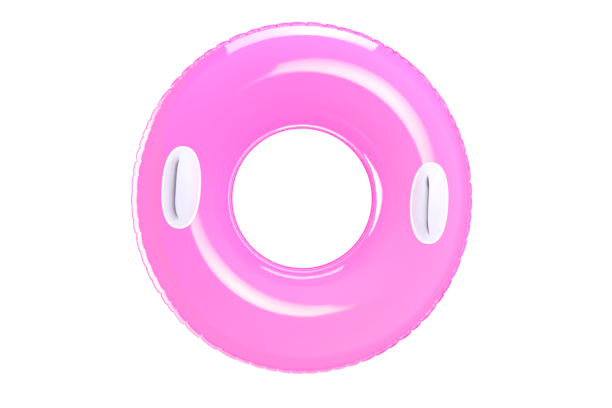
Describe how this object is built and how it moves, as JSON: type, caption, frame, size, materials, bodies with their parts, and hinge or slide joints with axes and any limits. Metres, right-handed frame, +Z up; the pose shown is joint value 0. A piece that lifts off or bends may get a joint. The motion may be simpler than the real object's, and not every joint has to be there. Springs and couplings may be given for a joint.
{
  "type": "swim ring",
  "caption": "Blown-up vinyl swim ring with a gathered outer seam, soft moulded grab handles on its front and a push-in air valve on its back.",
  "frame": {"origin": "middle of the ring, on the plane it rests on", "axes": "+Z up through the hole, from the back sheet to the front sheet; the handles lie at -X and +X; the air valve is at -Y on the back sheet"},
  "size_m": [0.7368, 0.76, 0.2405],
  "materials": {
    "vinyl": "glossy soft pink vinyl",
    "weld": "glossy welded margin, deeper pink",
    "handle": "satin white soft vinyl",
    "valve": "satin milky soft vinyl"
  },
  "bodies": {
    "ring": {"front_sheet": "vinyl", "back_sheet": "vinyl", "outer_seam": "weld", "inner_seam": "weld", "left_handle": "handle", "right_handle": "handle", "valve_flange": "valve", "valve_skirt": "valve"},
    "stem": {"valve_stem": "valve", "valve_tether": "valve"},
    "plug": {"valve_plug": "valve"},
    "flap": {"valve_flap": "valve"}
  },
  "joints": [
    {"name": "stem_slide", "type": "slide", "parent": "ring", "child": "stem", "axis": [0, -0.751, -0.6604], "range_m": [0, 0.014], "deforming": ["valve_skirt"]},
    {"name": "plug_hinge", "type": "hinge", "parent": "stem", "child": "plug", "pos_m": [0, -0.35177, 0.0472], "axis": [-1, 0, 0], "range_deg": [0, 140]},
    {"name": "flap_hinge", "type": "hinge", "parent": "stem", "child": "flap", "pos_m": [0, -0.34042, 0.05239], "axis": [1, 0, 0], "range_deg": [0, 60], "stiffness_Nm_per_rad": 0.0001}
  ]
}
